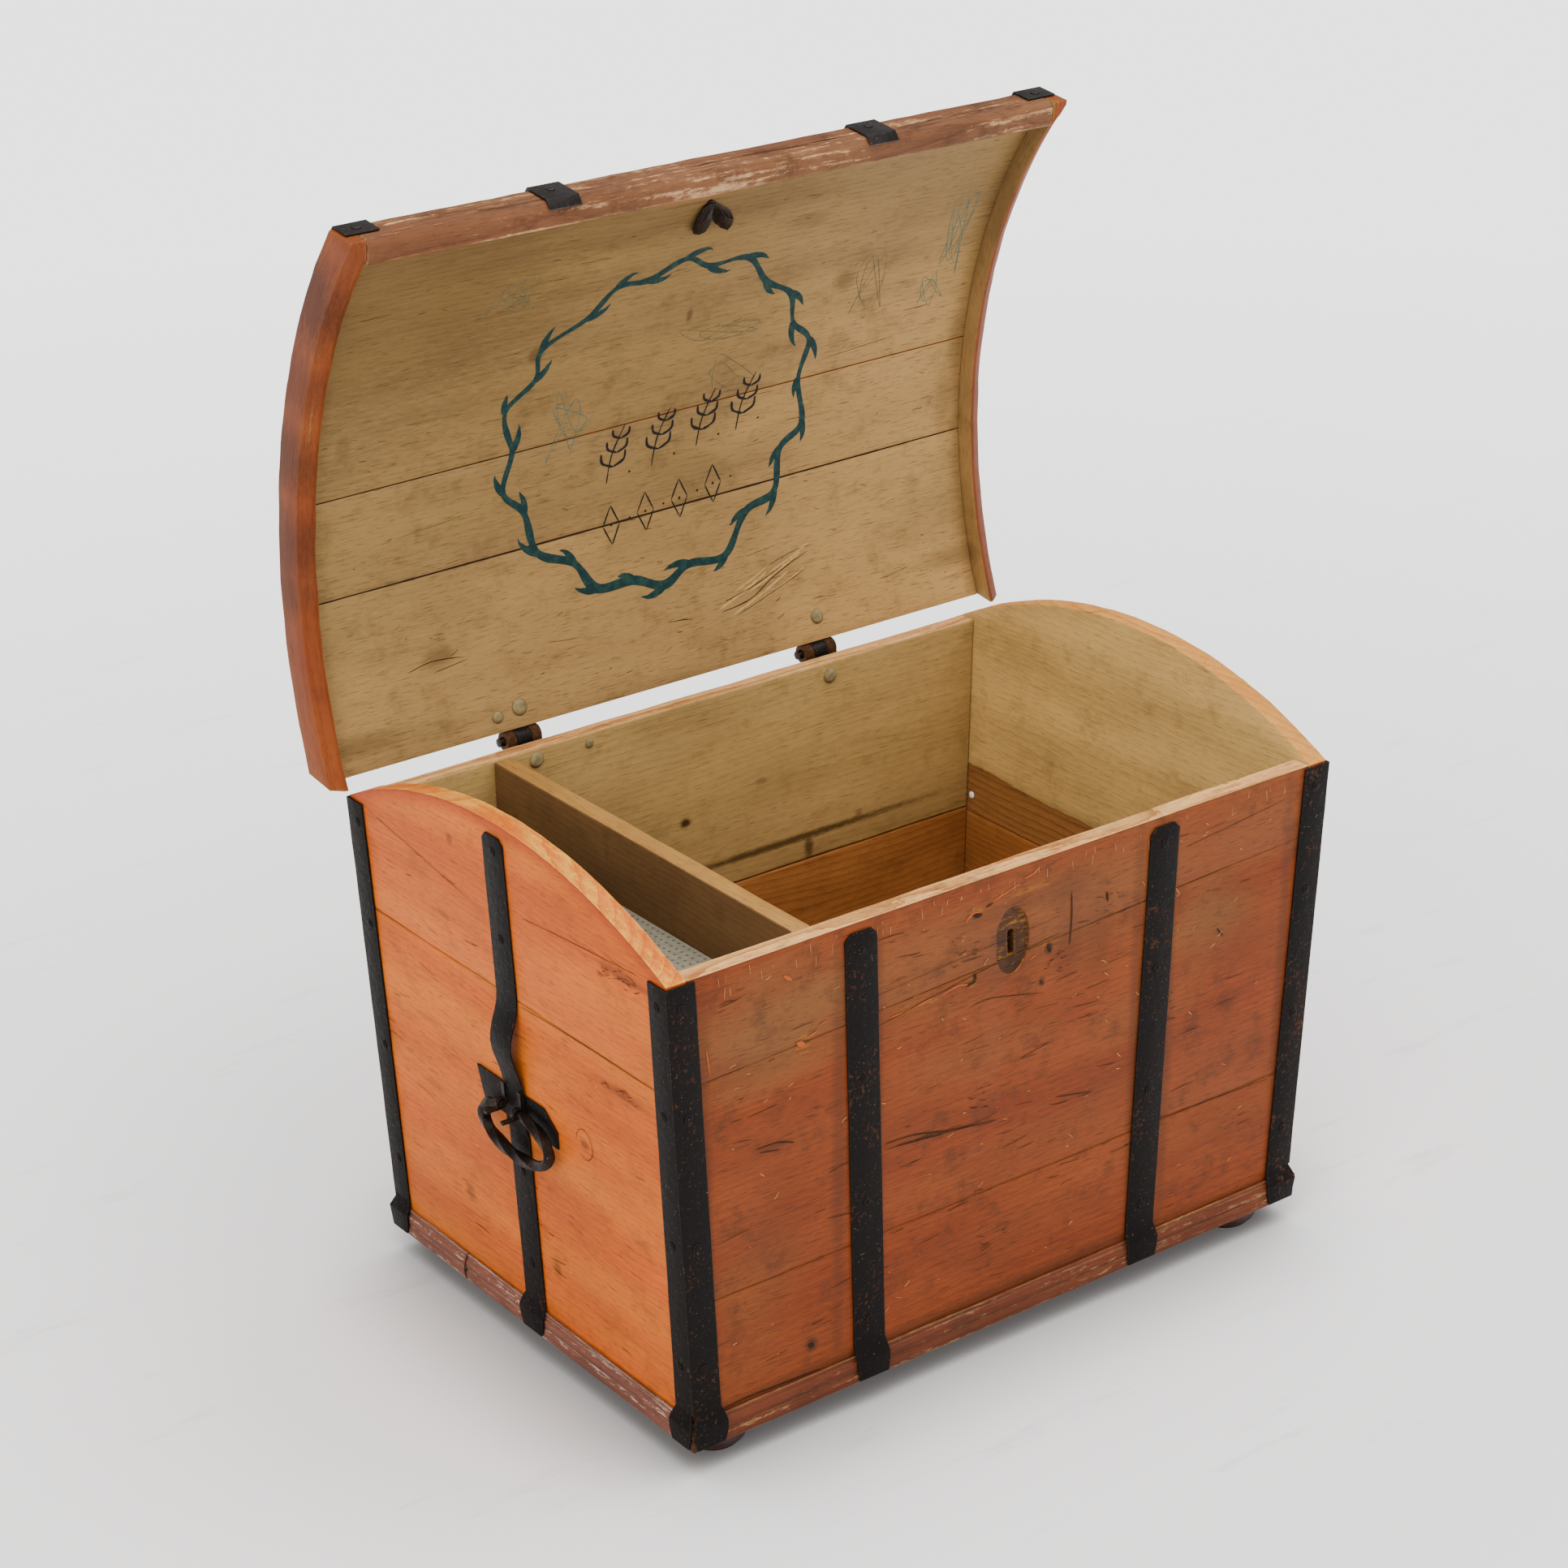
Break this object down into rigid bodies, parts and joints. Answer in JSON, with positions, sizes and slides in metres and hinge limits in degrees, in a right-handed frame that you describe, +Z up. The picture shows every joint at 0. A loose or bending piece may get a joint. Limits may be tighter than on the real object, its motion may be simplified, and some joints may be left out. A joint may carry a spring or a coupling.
{
  "type": "painted storage chest",
  "caption": "Painted pine chest with an arched lid on strap hinges, iron bands, ring handles on the ends, a till inside and turned flat feet; the lid stands open.",
  "frame": {"origin": "on the floor, under the middle of the whole object's box with the lid open at rest", "axes": "+X to the right along the front, +Y from the front to the back, +Z up"},
  "size_m": [0.9114, 0.652, 1.1826],
  "materials": {
    "painted_pine": "worn red-brown oil paint on pine",
    "olive_painted_pine": "worn olive-beige paint on pine",
    "lid_rim_paint": "worn orange-brown paint on pine",
    "red_painted_pine": "worn dusty red paint on pine",
    "stained_pine": "dark red-brown stain on turned pine",
    "black_iron": "blackened forged iron with rust",
    "printed_paper": "matt grey paper with small dark motifs",
    "white_enamel": "white round head"
  },
  "bodies": {
    "chest": {"front_plank_top": "painted_pine", "front_plank_middle": "painted_pine", "front_plank_bottom": "painted_pine", "back_plank_upper": "painted_pine", "back_plank_lower": "painted_pine", "left_end_upper": "painted_pine", "left_end_lower": "painted_pine", "right_end_upper": "painted_pine", "right_end_lower": "painted_pine", "bottom_board_front": "painted_pine", "bottom_board_middle": "painted_pine", "bottom_board_back": "painted_pine", "base_moulding_front": "red_painted_pine", "base_moulding_left": "red_painted_pine", "base_moulding_right": "red_painted_pine", "foot_front_left": "stained_pine", "foot_front_right": "stained_pine", "foot_back_left": "stained_pine", "foot_back_right": "stained_pine", "till_partition": "painted_pine", "till_floor": "painted_pine", "till_cleats": "painted_pine", "till_lining": "printed_paper", "corner_iron_front_left": "black_iron", "corner_iron_front_right": "black_iron", "corner_iron_back_left": "black_iron", "corner_iron_back_right": "black_iron", "front_strap_left": "black_iron", "front_strap_right": "black_iron", "end_strap_left": "black_iron", "end_strap_right": "black_iron", "handle_plate_left": "black_iron", "handle_plate_right": "black_iron", "handle_staple_left": "black_iron", "handle_staple_right": "black_iron", "back_strap_left": "black_iron", "back_strap_right": "black_iron", "hinge_pin_left": "black_iron", "hinge_pin_right": "black_iron", "back_rivets": "black_iron", "front_strap_nails": "black_iron", "end_strap_nails": "black_iron", "corner_nails": "black_iron", "corner_pin": "white_enamel"},
    "lid": {"lid_stave_front": "olive_painted_pine", "lid_stave_middle": "olive_painted_pine", "lid_stave_rear": "olive_painted_pine", "lid_rim_left": "lid_rim_paint", "lid_rim_right": "lid_rim_paint", "lid_rim_front": "lid_rim_paint", "lid_band_end_left": "black_iron", "lid_band_end_right": "black_iron", "lid_hinge_band_left": "black_iron", "lid_hinge_band_right": "black_iron", "lid_rivets": "black_iron", "lid_band_nails": "black_iron", "split_pin": "black_iron"},
    "left_ring": {"handle_ring_left": "black_iron"},
    "right_ring": {"handle_ring_right": "black_iron"}
  },
  "joints": [
    {"name": "lid_hinge", "type": "hinge", "parent": "chest", "child": "lid", "pos_m": [0, 0.26455, 0.5513], "axis": [1, 0, 0], "range_deg": [0, 82]},
    {"name": "left_handle", "type": "hinge", "parent": "chest", "child": "left_ring", "pos_m": [-0.42858, -0.03435, 0.299], "axis": [0, 1, 0], "range_deg": [0, 120]},
    {"name": "right_handle", "type": "hinge", "parent": "chest", "child": "right_ring", "pos_m": [0.42858, -0.03435, 0.299], "axis": [0, -1, 0], "range_deg": [0, 120]}
  ]
}
